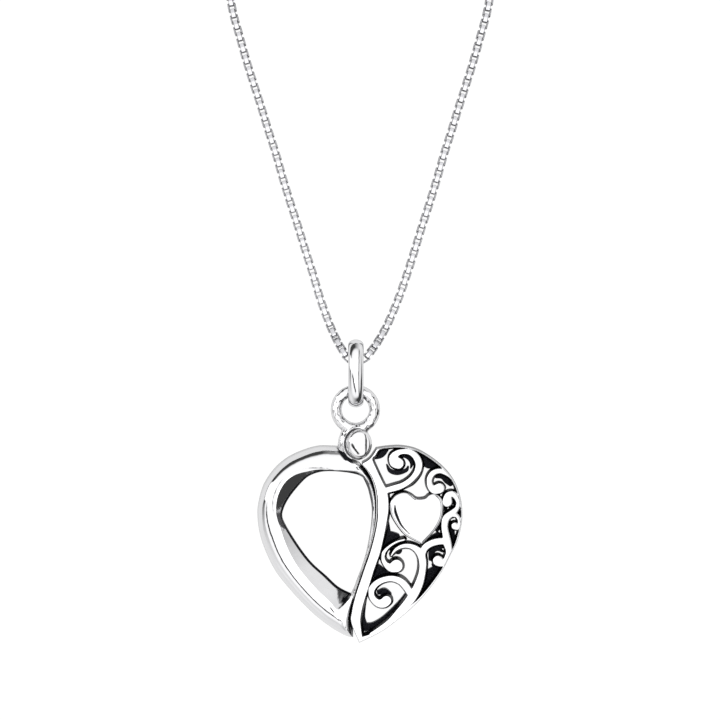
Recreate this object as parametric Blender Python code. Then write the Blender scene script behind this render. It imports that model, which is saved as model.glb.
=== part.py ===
"""Heart pendant of two halves on a fine box chain, with a spring-ring clasp.

The pendant lies on its back. +X is to the wearer's left, +Y towards the chain and
+Z out of the front. The origin is under the middle of pendant and jump ring.
"""

import math

import bmesh
import bpy
from mathutils import Vector

MM = 0.001

# Pendant halves, in millimetres.
SEAM_GAP = 0.16
BACK_Z = 0.0
CROWN_Z = 2.9
DOME_X = (1.0, 11.5, 1.25)
DOME_Y = (-3.0, 13.0, 0.45)
SCROLL_BACK_Z = 0.3
SCROLL_TIP_TURNS = (30.0, 55.0, 75.0, 88.0)
HEART_CROWN = 0.25
SCROLL_DEPTH = 0.05
SCROLL_SINK = 0.03
SCROLL_STEPS = 4
FIT_GAP = 0.04

# Cross-sections: share of the way from outline to crest and height, and for the rim
# share of the way from outline to hole and part of the dome's height.
POLISHED_SECTION = [(0.0, 0.45), (0.08, 1.25), (0.38, 2.15), (0.75, 2.6), (1.0, 2.45)]
POLISHED_BACK = (0.12, 0.08)
WINDOW_FOOT_Z = 0.35
RIM_SECTION = [(0.05, 0.62), (0.4, 0.93), (0.7, 1.0)]
RIM_SIDE_Z = 0.4
RIM_BACK = 0.15
RIM_EDGE_DROP = 0.12

# Pivot between the halves.
PIVOT = (-0.07, 5.35)
PLATE_Z = (1.5, 2.45)
EYE_Z = (0.42, 1.42)
EYE_RADIUS = 1.3
REAR_HEAD = (0.85, 0.06, 0.36)
PIN_RADIUS = 0.42
PIN_HOLE_RADIUS = 0.48
BALL_RADII = (1.42, 1.6, 1.55)
BALL_Z = 2.5

# Bail loop and jump ring.
LOOP_CENTRE = (-0.5, 9.08, 2.0)
LOOP_RADIUS = 2.1
LOOP_WIRE = 0.56
PLATE_RADIUS = 1.72
PLATE_FLARE = [(-1.96, 7.2), (-2.28, 6.1), (-2.75, 5.14), (-2.06, 5.06)]
PLATE_NECK = [(1.05, 7.0), (0.9, 7.6), (-1.75, 7.6)]
HOLE_CUT_Z = (1.0, 3.0)
RING_CENTRE = (-0.45, 13.05, 2.0)
RING_HALF_HEIGHT = 3.15
RING_HALF_DEPTH = 1.42
RING_WIRE = (0.84, 0.58)

# Box chain: visible V, coil and tails.
CHAIN = 0.95
CHAIN_Z = 0.49
COIL_CENTRE = (0.0, 63.4)
COIL_RADII = (4.05, 6.45)
COIL_LAYERS = 4
COIL_PITCH = 0.97
TAIL_Y = 74.2

# Spring-ring clasp and end rings.
CLASP_CENTRE = (0.57, TAIL_Y, 1.35)
CLASP_RADIUS = 2.1
CLASP_TUBE = 0.55
CLASP_BORE = 0.4
CLASP_OPENING = (200.0, 265.0)
GATE_RADIUS = 0.32
GATE_ARC = (150.0, 262.0)
EYE_RING = (0.85, 0.25)
TAG_RING = (1.2, 0.3)
TAG_RING_OFFSET = (2.25, 1.52)

SILVER = (0.86, 0.86, 0.88)
OXIDISED = (0.62, 0.62, 0.64)
STEEL = (0.55, 0.56, 0.58)

# Centre line of the gap between the halves, tip to pivot.
SEAM = [
    (-0.68, -16.0), (-0.91, -14.3), (-0.83, -12.9), (-0.48, -11.36), (0.02, -9.85),
    (0.53, -8.34), (1.11, -6.66), (1.62, -4.8), (1.96, -2.95), (2.0, -1.09),
    (1.76, 0.62), (1.12, 2.1), (0.12, 3.25),
]

# Polished half: outline, crest of the band and edge of the window.
POLISHED_OUTLINE = [
    (-2.0, 5.0), (-3.1, 5.08), (-4.7, 5.06), (-6.47, 4.54), (-8.15, 3.71), (-9.58, 2.44),
    (-10.67, 0.76), (-11.22, -1.1), (-11.35, -2.61), (-11.1, -4.63), (-10.42, -6.66),
    (-9.42, -8.67), (-8.15, -10.35), (-6.47, -12.21), (-4.79, -13.81), (-3.1, -15.07),
    (-1.5, -15.95), (-0.76, -16.08),
]
POLISHED_RETURN = [(0.04, 3.25), (-0.62, 3.5), (-1.4, 4.02), (-2.0, 5.0)]
POLISHED_CREST = [
    (-0.1, 2.5), (-2.26, 2.55), (-4.44, 2.63), (-6.13, 2.53), (-7.48, 2.1), (-8.45, 1.33),
    (-9.16, 0.09), (-9.44, -1.1), (-9.42, -2.28), (-8.99, -3.96), (-8.32, -5.97),
    (-7.3, -7.95), (-6.13, -9.5), (-4.79, -11.0), (-3.61, -12.1), (-2.76, -13.13),
]
CREST_RETURN = [
    (-2.76, -13.13), (-1.7, -12.3), (-0.85, -11.2), (-0.27, -9.8), (0.25, -8.3),
    (0.8, -6.6), (1.26, -4.8), (1.55, -2.95), (1.6, -1.1), (1.33, 0.5), (0.8, 1.75),
    (-0.1, 2.5),
]
WINDOW_EDGE = [
    (-0.23, 1.94), (-1.42, 2.19), (-3.1, 2.33), (-4.44, 2.22), (-5.62, 1.77), (-6.47, 1.01),
    (-7.65, -0.42), (-8.32, -1.6), (-8.57, -2.61), (-8.32, -3.45), (-7.3, -5.14),
    (-6.13, -6.82), (-5.12, -8.0), (-3.77, -9.2), (-2.42, -10.45), (-0.83, -11.31),
]
WINDOW_RETURN = [
    (-0.83, -11.31), (-0.32, -9.68), (0.19, -8.34), (0.69, -6.66), (1.02, -4.96),
    (1.24, -3.28), (1.28, -1.6), (0.95, 0.09), (0.53, 1.43), (-0.23, 1.94),
]

# Openwork half: outline and inner edge of its rim.
OPENWORK_OUTLINE = [
    (1.75, 4.9), (2.97, 5.08), (4.48, 5.14), (6.16, 4.8), (7.84, 3.87), (9.36, 2.61),
    (10.37, 1.27), (11.04, -0.42), (11.3, -2.1), (11.21, -3.62), (10.75, -5.47),
    (10.0, -6.95), (9.0, -8.84), (7.45, -10.95), (5.85, -12.65), (4.1, -14.12),
    (2.3, -15.4), (-0.1, -16.6),
]
OPENWORK_RETURN = [(0.2, 3.35), (1.0, 3.85), (1.75, 4.9)]
RIM_OUTER_EDGE = [
    (1.7, 4.0), (2.97, 4.7), (4.48, 4.78), (6.0, 4.47), (7.6, 3.6), (9.06, 2.38),
    (10.05, 1.08), (10.7, -0.5), (10.95, -2.1), (10.86, -3.6), (10.4, -5.35),
    (9.67, -6.8), (8.6, -8.62), (7.04, -10.7), (5.4, -12.32), (3.66, -13.78),
    (1.9, -14.9), (0.28, -15.45),
]
RIM_BAND_EDGE = [
    (0.28, -15.45), (0.1, -14.1), (0.28, -12.72), (0.77, -11.03), (1.2, -9.68),
    (1.62, -8.34), (2.21, -6.66), (2.63, -4.96), (2.96, -3.28), (3.17, -1.6), (3.02, 0.09),
    (2.46, 1.3), (1.95, 2.6), (1.7, 4.0),
]

# Scrollwork ribbons: centre line and width, ending in a round tip.
SCROLLS = {
    "top": [
        (3.0, 0.33, 0.7), (3.87, 0.54, 0.74), (4.6, 0.78, 0.7), (5.33, 1.2, 0.69),
        (5.93, 1.77, 0.7), (6.36, 2.49, 0.8), (6.4, 3.3, 0.84), (6.05, 4.03, 0.76),
        (5.49, 4.4, 0.64), (4.84, 4.5, 0.6), (4.2, 4.38, 0.68), (3.72, 3.95, 0.9),
        (3.8, 3.4, 1.1), (4.22, 3.12, 1.15),
    ],
    "shoulder": [
        (9.82, 1.72, 0.3), (9.4, 2.08, 0.46), (8.72, 2.35, 0.6), (8.02, 2.09, 0.66),
        (7.65, 1.44, 0.66), (7.74, 0.76, 0.72), (8.22, 0.35, 0.84), (8.78, 0.5, 1.0),
    ],
    "vine": [
        (9.6, -1.1, 0.72), (9.66, -0.5, 0.62), (10.12, -0.2, 0.52), (10.55, -0.6, 0.46),
        (10.66, -1.25, 0.42), (10.6, -1.8, 0.5), (10.1, -2.3, 0.7), (9.5, -2.85, 0.85),
        (9.3, -3.72, 0.8),
        (9.45, -4.69, 0.85), (9.6, -5.58, 0.95), (9.72, -6.41, 0.7), (9.58, -7.1, 0.55),
        (9.2, -7.62, 0.58), (8.72, -7.72, 0.75),
    ],
    "side_curl": [
        (9.95, -2.45, 0.6), (10.5, -2.62, 0.46), (10.8, -3.1, 0.4), (10.72, -3.65, 0.46),
        (10.35, -3.95, 0.55),
    ],
    "trunk": [
        (3.2, -14.1, 0.5), (4.39, -13.0, 0.8), (5.52, -11.74, 1.05), (6.36, -10.28, 1.0),
        (6.81, -8.75, 0.85), (6.85, -7.38, 0.9), (6.41, -6.41, 0.85), (5.6, -5.89, 0.6),
        (4.71, -5.84, 0.5), (3.94, -6.21, 0.4), (3.42, -6.89, 0.24),
    ],
    "branch": [
        (6.85, -7.14, 0.6), (7.05, -6.17, 0.8), (7.78, -5.6, 0.8), (8.75, -5.36, 0.8),
        (9.47, -5.44, 0.7),
    ],
    "middle": [
        (4.84, -5.15, 0.28), (4.07, -5.36, 0.3), (3.26, -5.84, 0.35), (2.7, -6.49, 0.45),
        (2.58, -7.22, 0.5), (2.88, -7.86, 0.65), (3.42, -8.22, 0.9), (4.02, -8.06, 1.2),
    ],
    "bottom": [
        (5.6, -11.17, 0.8), (5.03, -10.28, 0.85), (4.39, -9.68, 0.8), (3.42, -9.4, 0.7),
        (2.37, -9.6, 0.7), (1.62, -10.12, 0.72), (1.27, -10.85, 0.7), (1.42, -11.57, 0.75),
        (1.97, -12.12, 0.8), (2.55, -12.2, 0.8), (3.0, -11.9, 0.8),
    ],
}
SCROLL_NODES = {
    "scroll_top": ["top"],
    "scroll_shoulder": ["shoulder"],
    "scroll_middle": ["middle"],
    "scroll_vine": ["vine", "side_curl", "branch", "trunk", "bottom"],
}
MINI_HEART = [
    (6.78, -5.62), (8.07, -4.37), (8.78, -3.1), (9.02, -1.95), (8.98, -1.0), (8.62, -0.48),
    (8.02, -0.28), (7.5, -0.36), (7.0, -0.68), (6.25, -0.74), (5.65, -0.35), (5.0, -0.08),
    (4.4, -0.08), (3.8, -0.35), (3.45, -0.9), (3.36, -1.6), (3.6, -2.6), (4.3, -3.8), (5.2, -4.75),
]

# Left strand of the visible V from the ring upwards: x, y and height of its axis.
STRAND = [
    (-0.45, 14.5, 1.95), (-1.3, 14.75, 1.9), (-2.05, 15.8, 1.6), (-2.75, 17.1, 1.05),
    (-3.5, 18.8, 0.6), (-4.4, 21.3, 0.49), (-5.2, 24.0, 0.49), (-6.03, 26.6, 0.49),
    (-6.86, 29.3, 0.49), (-7.7, 31.9, 0.49), (-8.5, 34.5, 0.49), (-9.27, 37.2, 0.49),
    (-10.1, 39.8, 0.49), (-10.93, 42.5, 0.49), (-11.77, 45.1, 0.49), (-12.58, 47.7, 0.49),
    (-13.34, 50.4, 0.49), (-14.05, 53.0, 0.49), (-14.35, 55.4, 0.49), (-13.7, 57.4, 0.49),
    (-11.9, 58.7, 0.49), (-9.9, 59.8, 0.49), (-8.4, 61.5, 0.49), (-7.75, 63.0, 0.49),
]
STRAND_START = 1
RIGHT_RISE = {20: 0.6, 21: 1.0, 22: 1.6, 23: 2.2}

# Left tail from the coil to the clasp.
TAIL = [
    (-7.75, 64.6, 1.4), (-7.6, 66.6, 1.2), (-7.5, 68.8, 0.8), (-7.35, 71.0, 0.62),
    (-6.7, 72.8, 0.8), (-5.6, 73.9, 1.15), (-4.4, 74.2, 1.35),
]
RIGHT_TAIL_HEIGHTS = (3.2, 2.7, 1.9, 1.2, 0.9, 1.15, 1.35)


def clear_scene():
    for thing in list(bpy.data.objects):
        bpy.data.objects.remove(thing)


def material(name, colour, roughness):
    made = bpy.data.materials.new(name)
    made.use_nodes = True
    shader = made.node_tree.nodes["Principled BSDF"]
    shader.inputs["Base Color"].default_value = (*colour, 1.0)
    shader.inputs["Roughness"].default_value = roughness
    shader.inputs["Metallic"].default_value = 1.0
    return made


def solid(name, points, faces, look=None, smooth_angle=40.0):
    """An object from points in millimetres, with its faces turned outwards."""
    mesh = bpy.data.meshes.new(name)
    mesh.from_pydata([Vector(p) * MM for p in points], [], faces)
    shaped = bmesh.new()
    shaped.from_mesh(mesh)
    bmesh.ops.recalc_face_normals(shaped, faces=shaped.faces)
    shaped.to_mesh(mesh)
    shaped.free()
    mesh.shade_smooth()
    mesh.set_sharp_from_angle(angle=math.radians(smooth_angle))
    thing = bpy.data.objects.new(name, mesh)
    bpy.context.scene.collection.objects.link(thing)
    if look:
        mesh.materials.append(look)
    return thing


def set_origin(thing, place):
    """Moves an object's origin to a point in millimetres and leaves its shape in place."""
    there = Vector(place) * MM
    for corner in thing.data.vertices:
        corner.co -= there
    thing.location = there


def boolean(thing, other, operation):
    """Adds or cuts another object, which stays as a hidden guide."""
    other.hide_render = True
    other.display_type = "WIRE"
    step = thing.modifiers.new(operation.lower(), "BOOLEAN")
    step.operation = operation
    step.solver = "EXACT"
    step.use_self = operation == "UNION"
    step.object = other


def smooth(points, steps):
    """A curve through the points, with that many steps between two of them."""
    count = len(points)
    line = []
    for i in range(count - 1):
        before = points[max(i - 1, 0)]
        after = points[min(i + 2, count - 1)]
        for k in range(steps):
            line.append(blend(before, points[i], points[i + 1], after, k / steps))
    line.append(tuple(points[-1]))
    return line


def blend(before, start, end, after, t):
    """A point of the Catmull-Rom curve from start to end."""
    place = []
    for a, b, c, d in zip(before, start, end, after):
        bend = (2 * a - 5 * b + 4 * c - d) * t + (3 * b - a - 3 * c + d) * t * t
        place.append(b + 0.5 * t * (c - a + bend))
    return tuple(place)


def resampled(points, count):
    """Points evenly spaced along the smooth curve, the ends included."""
    fine = smooth(points, 16)
    along = [0.0]
    for a, b in zip(fine, fine[1:]):
        along.append(along[-1] + math.dist(a, b))
    line = []
    k = 0
    for i in range(count):
        target = along[-1] * i / (count - 1)
        while k < len(along) - 2 and along[k + 1] < target:
            k += 1
        share = (target - along[k]) / (along[k + 1] - along[k])
        line.append(tuple(a + (b - a) * share for a, b in zip(fine[k], fine[k + 1])))
    return line


def dome(x, y):
    """Height of the pendant's front at a place, in millimetres."""
    across = abs((x - DOME_X[0]) / DOME_X[1]) ** 2 * DOME_X[2]
    along = abs((y - DOME_Y[0]) / DOME_Y[1]) ** 2 * DOME_Y[2]
    return CROWN_Z - across - along


def rail(first, second, counts):
    """A closed rail of two smooth runs that share their end points."""
    return resampled(first, counts[0])[:-1] + resampled(second, counts[1])[:-1]


def loft(name, sections, look):
    """A closed band whose cross-sections follow each other round a loop."""
    count = len(sections)
    size = len(sections[0])
    faces = []
    for i in range(count):
        for k in range(size):
            ahead = (i + 1) % count
            beside = (k + 1) % size
            faces.append((i * size + k, i * size + beside, ahead * size + beside, ahead * size + k))
    return solid(name, [p for section in sections for p in section], faces, look)


def between(a, b, share):
    return tuple(p + (q - p) * share for p, q in zip(a, b))


def polished_half(look):
    """Open half: a crowned band round a window whose walls slope in to the back."""
    counts = (46, 30)
    seam_side = [(x - SEAM_GAP / 2, y) for x, y in SEAM]
    seam_side[0] = POLISHED_OUTLINE[-1]
    divider = resampled(seam_side, 24)[:-1] + resampled(POLISHED_RETURN, 7)
    outline = resampled(POLISHED_OUTLINE, counts[0])[:-1] + divider[:-1]
    crest = rail(POLISHED_CREST, CREST_RETURN, counts)
    window = rail(WINDOW_EDGE, WINDOW_RETURN, counts)
    sections = []
    for edge, ridge, hole in zip(outline, crest, window):
        sections.append([
            (*between(edge, hole, POLISHED_BACK[0]), BACK_Z),
            *[(*between(edge, ridge, share), z) for share, z in POLISHED_SECTION],
            (*hole, WINDOW_FOOT_Z),
            (*between(hole, edge, POLISHED_BACK[1]), BACK_Z),
        ])
    return loft("polished_half", sections, look)


def rim_rails():
    """Matching points of the openwork half's outline and of its rim's inner edge."""
    counts = (46, 34)
    seam_side = [(x + SEAM_GAP / 2, y) for x, y in SEAM]
    seam_side[0] = OPENWORK_OUTLINE[-1]
    divider = resampled(seam_side, 29)[:-1] + resampled(OPENWORK_RETURN, 6)
    outline = resampled(OPENWORK_OUTLINE, counts[0])[:-1] + divider[:-1]
    return list(zip(outline, rail(RIM_OUTER_EDGE, RIM_BAND_EDGE, counts)))


def openwork_rim(look):
    """Rim of the openwork half: a broad band by the seam, thin round the outside."""
    sections = []
    for edge, hole in rim_rails():
        top = dome(*between(edge, hole, 0.5))
        sections.append([
            (*between(edge, hole, RIM_BACK), BACK_Z),
            (*edge, RIM_SIDE_Z),
            *[(*between(edge, hole, share), top * part) for share, part in RIM_SECTION],
            (*hole, top - RIM_EDGE_DROP),
            (*hole, BACK_Z),
        ])
    return loft("openwork_rim", sections, look)


def rim_clearance(name):
    """The rim's place at full height and a gap wider, for what is fitted inside it."""
    sections = []
    for edge, hole in rim_rails():
        inner = between(hole, edge, -FIT_GAP / math.dist(edge, hole))
        outer = between(edge, hole, -1.0)
        low, high = BACK_Z - 1.0, CROWN_Z + 1.0
        sections.append([(*outer, low), (*outer, high), (*inner, high), (*inner, low)])
    return loft(name, sections, None)


def ribbon(name, route, sink=0.0, look=None):
    """A flat ribbon just under the dome, sunk by a little more, with a round tip at its end."""
    line = smooth(route, SCROLL_STEPS)
    ex, ey = tip_direction(line)
    x, y, width = line[-1]
    for turn in SCROLL_TIP_TURNS:
        reach = width / 2 * math.sin(math.radians(turn))
        line.append((x + ex * reach, y + ey * reach, width * math.cos(math.radians(turn))))
    points = []
    last = len(line) - 1
    for i, (x, y, width) in enumerate(line):
        ahead = line[min(i + 1, last)]
        behind = line[max(i - 1, 0)]
        dx = ahead[0] - behind[0]
        dy = ahead[1] - behind[1]
        size = math.hypot(dx, dy)
        for side in (-0.5, 0.5):
            px = x + dy / size * width * side
            py = y - dx / size * width * side
            points.append((px, py, dome(px, py) - SCROLL_DEPTH - sink))
            points.append((px, py, SCROLL_BACK_Z + sink))
    faces = [(0, 1, 3, 2)]
    for i in range(last):
        a = 4 * i
        b = a + 4
        faces += [(a, a + 2, b + 2, b), (a + 1, b + 1, b + 3, a + 3)]
        faces += [(a, b, b + 1, a + 1), (a + 2, a + 3, b + 3, b + 2)]
    faces.append((4 * last, 4 * last + 2, 4 * last + 3, 4 * last + 1))
    return solid(name, points, faces, look)


def tip_direction(line):
    dx = line[-1][0] - line[-2][0]
    dy = line[-1][1] - line[-2][1]
    size = math.hypot(dx, dy)
    return dx / size, dy / size


def heart_plate(name, grow, z_low, z_high, look=None):
    """The small heart as a plate, grown outwards by a gap where it is a cutter."""
    outline = smooth([*MINI_HEART, MINI_HEART[0]], 3)[:-1]
    middle = (sum(x for x, _ in outline) / len(outline), sum(y for _, y in outline) / len(outline))
    points = []
    for x, y in outline:
        far = math.dist((x, y), middle)
        scale = (far + grow) / far
        points.append((middle[0] + (x - middle[0]) * scale, middle[1] + (y - middle[1]) * scale))
    count = len(points)
    tops = [(x, y, z_high(x, y)) for x, y in points]
    corners = tops + [(x, y, z_low) for x, y in points] + [(*middle, z_high(*middle) + HEART_CROWN)]
    faces = [tuple(range(count, 2 * count))]
    for i in range(count):
        ahead = (i + 1) % count
        faces.append((i, ahead, count + ahead, count + i))
        faces.append((i, ahead, 2 * count))
    return solid(name, corners, faces, look)


def scroll(name, pieces, look):
    """Ribbons joined into one scroll, clear of the rim and of the small heart."""
    whole = ribbon(name, SCROLLS[pieces[0]], 0.0, look)
    for i, piece in enumerate(pieces[1:], 1):
        branch = ribbon(f"{name}_{piece}", SCROLLS[piece], SCROLL_SINK * i)
        boolean(whole, branch, "UNION")
    boolean(whole, rim_clearance(f"{name}_rim_clearance"), "DIFFERENCE")
    tall = heart_plate(f"{name}_heart_clearance", FIT_GAP, 0.1, lambda x, y: CROWN_Z + 1.0)
    boolean(whole, tall, "DIFFERENCE")


def turned(name, profile, centre, look, sides=32, squash=1.0):
    """A closed round solid about +Z from (radius, height) pairs, ends on the axis."""
    points = []
    faces = []
    rings = []
    for radius, height in profile:
        start = len(points)
        if radius == 0:
            points.append((centre[0], centre[1], height))
            rings.append([start] * sides)
            continue
        for k in range(sides):
            angle = 2 * math.pi * k / sides
            x = centre[0] + radius * math.cos(angle)
            y = centre[1] + radius * squash * math.sin(angle)
            points.append((x, y, height))
        rings.append(list(range(start, start + sides)))
    closed = profile[0] == profile[-1]
    if closed:
        points = points[:-sides]
        rings[-1] = rings[0]
    for low, high in zip(rings, rings[1:]):
        for k in range(sides):
            ahead = (k + 1) % sides
            corners = [low[k], low[ahead], high[ahead], high[k]]
            faces.append(tuple(dict.fromkeys(corners)))
    return solid(name, points, faces, look)


def swept_ring(name, middle, radii, section, axes, look=None, arc=None, sides=32):
    """A wire bent round an ellipse, whole or over an arc in degrees.

    axes are the ellipse's two unit directions, section is the wire's half width
    across its plane and half thickness in it."""
    across = Vector(axes[0]).cross(Vector(axes[1]))
    around = 10
    start, end = arc or (0.0, 360.0)
    count = sides if arc is None else sides + 1
    points = []
    for i in range(count):
        angle = math.radians(start + (end - start) * i / sides)
        u = Vector(axes[0]) * math.cos(angle) + Vector(axes[1]) * math.sin(angle)
        place = Vector(middle)
        place += Vector(axes[0]) * radii[0] * math.cos(angle)
        place += Vector(axes[1]) * radii[1] * math.sin(angle)
        for k in range(around):
            turn = 2 * math.pi * k / around
            points.append(place + u * section[1] * math.cos(turn) + across * section[0] * math.sin(turn))
    faces = []
    for i in range(count if arc is None else count - 1):
        ahead = (i + 1) % count
        for k in range(around):
            beside = (k + 1) % around
            faces.append((i * around + k, ahead * around + k, ahead * around + beside, i * around + beside))
    if arc is not None:
        faces.append(tuple(range(around)))
        faces.append(tuple(range((count - 1) * around, count * around)))
    return solid(name, points, faces, look)


def cylinder(name, centre, radius, z_low, z_high, sides=32):
    profile = [(0, z_low), (radius, z_low), (radius, z_high), (0, z_high)]
    return turned(name, profile, centre, None, sides)


def bail(look):
    """Plate over the pivot, with a flare beside the polished half and a loop above."""
    px, py = PIVOT
    turns = [math.radians(angle) for angle in range(188, 400, 12)]
    disc = [(px + PLATE_RADIUS * math.cos(a), py + PLATE_RADIUS * math.sin(a)) for a in turns]
    outline = PLATE_FLARE + disc + PLATE_NECK
    count = len(outline)
    points = [(x, y, PLATE_Z[0]) for x, y in outline] + [(x, y, PLATE_Z[1]) for x, y in outline]
    faces = [tuple(range(count)), tuple(range(count, 2 * count))]
    for i in range(count):
        ahead = (i + 1) % count
        faces.append((i, ahead, count + ahead, count + i))
    plate = solid("bail", points, faces, look)
    flat = ((1, 0, 0), (0, 1, 0))
    wire = (LOOP_WIRE, LOOP_WIRE)
    loop = swept_ring("bail_loop", LOOP_CENTRE, (LOOP_RADIUS, LOOP_RADIUS), wire, flat)
    boolean(plate, loop, "UNION")
    hole = cylinder("loop_hole", LOOP_CENTRE[:2], LOOP_RADIUS - LOOP_WIRE - 0.02, *HOLE_CUT_Z)
    boolean(plate, hole, "DIFFERENCE")
    pin_hole = cylinder("plate_hole", PIVOT, PIN_HOLE_RADIUS, *HOLE_CUT_Z)
    boolean(plate, pin_hole, "DIFFERENCE")
    return plate


def pivot_pieces(silver, steel):
    """Eye of the openwork half, the pin with its rear head, and the ball on the front."""
    low, high = EYE_Z
    eye = [(PIN_HOLE_RADIUS, low), (EYE_RADIUS, low), (EYE_RADIUS, high), (PIN_HOLE_RADIUS, high)]
    turned("pivot_eye", [*eye, eye[0]], PIVOT, silver)
    radius, head_low, head_high = REAR_HEAD
    pin = [
        (0, head_low), (radius, head_low), (radius, head_high), (PIN_RADIUS, head_high),
        (PIN_RADIUS, PLATE_Z[1]), (0, PLATE_Z[1]),
    ]
    turned("pivot_pin", pin, PIVOT, steel)
    rx, ry, rz = BALL_RADII
    profile = [(0, BALL_Z)]
    for angle in range(0, 90, 15):
        bend = math.radians(angle)
        profile.append((rx * math.cos(bend), BALL_Z + 0.1 + (rz - 0.1) * math.sin(bend)))
    profile.append((0, BALL_Z + rz))
    turned("pivot_ball", profile, PIVOT, silver, sides=36, squash=ry / rx)


def jump_ring(look):
    """Oval ring that stands on its edge, through the bail loop and round the chain."""
    upright = ((0, 1, 0), (0, 0, 1))
    radii = (RING_HALF_HEIGHT, RING_HALF_DEPTH)
    swept_ring("jump_ring", RING_CENTRE, radii, RING_WIRE, upright, look, sides=40)


def tube(name, points, look):
    """A chain stretch as a plain tube along points in millimetres."""
    line = bpy.data.curves.new(name, "CURVE")
    line.dimensions = "3D"
    line.bevel_depth = CHAIN / 2 * MM
    line.bevel_resolution = 2
    line.use_fill_caps = True
    spline = line.splines.new("POLY")
    spline.points.add(len(points) - 1)
    for point, place in zip(spline.points, points):
        point.co = (*(Vector(place) * MM), 1.0)
    thing = bpy.data.objects.new(name, line)
    bpy.context.scene.collection.objects.link(thing)
    line.materials.append(look)
    return thing


def chain(look):
    """The V through the jump ring, the coil it runs into and its two tails."""
    left = list(reversed(STRAND[STRAND_START:]))
    right = []
    for i, (x, y, z) in enumerate(STRAND):
        if i >= STRAND_START:
            right.append((-x + 2 * STRAND[0][0] * max(0.0, 1 - i / 6), y, RIGHT_RISE.get(i, z)))
    route = left + [STRAND[0]] + right
    tube("chain_run", resampled(route, 66), look)
    low, high = COIL_RADII[0] - CHAIN / 2, COIL_RADII[1] + CHAIN / 2
    top = COIL_LAYERS * COIL_PITCH
    profile = [(low, 0.02), (high, 0.02), (high, top), (low, top), (low, 0.02)]
    turned("chain_coil", profile, COIL_CENTRE, look, sides=48)
    tube("chain_tail_left", resampled(TAIL, 9), look)
    mirrored = [(-x, y, z) for (x, y, _), z in zip(TAIL, RIGHT_TAIL_HEIGHTS)]
    tube("chain_tail_right", resampled(mirrored, 9), look)


def clasp(silver, steel):
    """Spring-ring clasp between the two chain ends, with its eye and the tag ring."""
    cx, cy, cz = CLASP_CENTRE
    flat = ((1, 0, 0), (0, 1, 0))
    start, end = CLASP_OPENING[1], CLASP_OPENING[0] + 360.0
    shell = (CLASP_TUBE, CLASP_TUBE)
    radii = (CLASP_RADIUS, CLASP_RADIUS)
    body = swept_ring("clasp_ring", CLASP_CENTRE, radii, shell, flat, silver, (start, end), 28)
    bore = (CLASP_BORE, CLASP_BORE)
    inside = swept_ring(
        "clasp_bore", CLASP_CENTRE, radii, bore, flat, None, (start - 4.0, end + 4.0), 28
    )
    boolean(body, inside, "DIFFERENCE")
    rod = (GATE_RADIUS, GATE_RADIUS)
    gate = swept_ring("clasp_gate", CLASP_CENTRE, radii, rod, flat, steel, GATE_ARC, 16)
    set_origin(gate, CLASP_CENTRE)
    upright = ((1, 0, 0), (0, 0, 1))
    ring, wire = EYE_RING
    eye = (cx - CLASP_RADIUS - CLASP_TUBE - ring - wire - FIT_GAP, cy, cz)
    swept_ring("clasp_eye", eye, (ring, ring), (wire, wire), upright, silver, None, 20)
    ring, wire = TAG_RING
    tag = (cx + TAG_RING_OFFSET[0], cy, TAG_RING_OFFSET[1])
    swept_ring("tag_ring", tag, (ring, ring), (wire, wire), upright, silver, None, 20)


def build():
    clear_scene()
    polished = material("polished_silver", SILVER, 0.06)
    cast = material("oxidised_silver", OXIDISED, 0.2)
    links = material("chain_silver", SILVER, 0.12)
    steel = material("spring_steel", STEEL, 0.25)
    polished_half(polished)
    set_origin(openwork_rim(polished), (*PIVOT, 0.0))
    for name, pieces in SCROLL_NODES.items():
        scroll(name, pieces, cast)
    heart_plate("mini_heart", 0.0, SCROLL_BACK_Z, dome, polished)
    bail(polished)
    pivot_pieces(polished, steel)
    jump_ring(polished)
    chain(links)
    clasp(links, steel)


build()
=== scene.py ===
"""Looks of the heart pendant on its box chain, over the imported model.

Sizes are in millimetres until a mesh is made. The pendant lies on its back on a
pale surface and the camera looks straight down on it.
"""

import math

import bpy
import numpy as np
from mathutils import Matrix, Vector


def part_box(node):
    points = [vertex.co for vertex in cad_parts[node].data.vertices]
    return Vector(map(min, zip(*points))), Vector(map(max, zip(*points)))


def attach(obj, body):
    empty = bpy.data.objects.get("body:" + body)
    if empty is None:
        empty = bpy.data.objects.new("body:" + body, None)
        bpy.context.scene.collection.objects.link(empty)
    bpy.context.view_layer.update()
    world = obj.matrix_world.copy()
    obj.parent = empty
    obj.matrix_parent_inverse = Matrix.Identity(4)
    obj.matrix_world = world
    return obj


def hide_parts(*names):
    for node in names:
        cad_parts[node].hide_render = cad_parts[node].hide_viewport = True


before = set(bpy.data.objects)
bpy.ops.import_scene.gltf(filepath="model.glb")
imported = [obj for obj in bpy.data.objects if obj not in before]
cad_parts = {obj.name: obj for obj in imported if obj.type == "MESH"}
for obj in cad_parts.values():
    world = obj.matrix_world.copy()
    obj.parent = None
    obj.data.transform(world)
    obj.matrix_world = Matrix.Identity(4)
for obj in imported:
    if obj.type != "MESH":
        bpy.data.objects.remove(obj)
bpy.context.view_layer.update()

MM = 0.001

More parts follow.
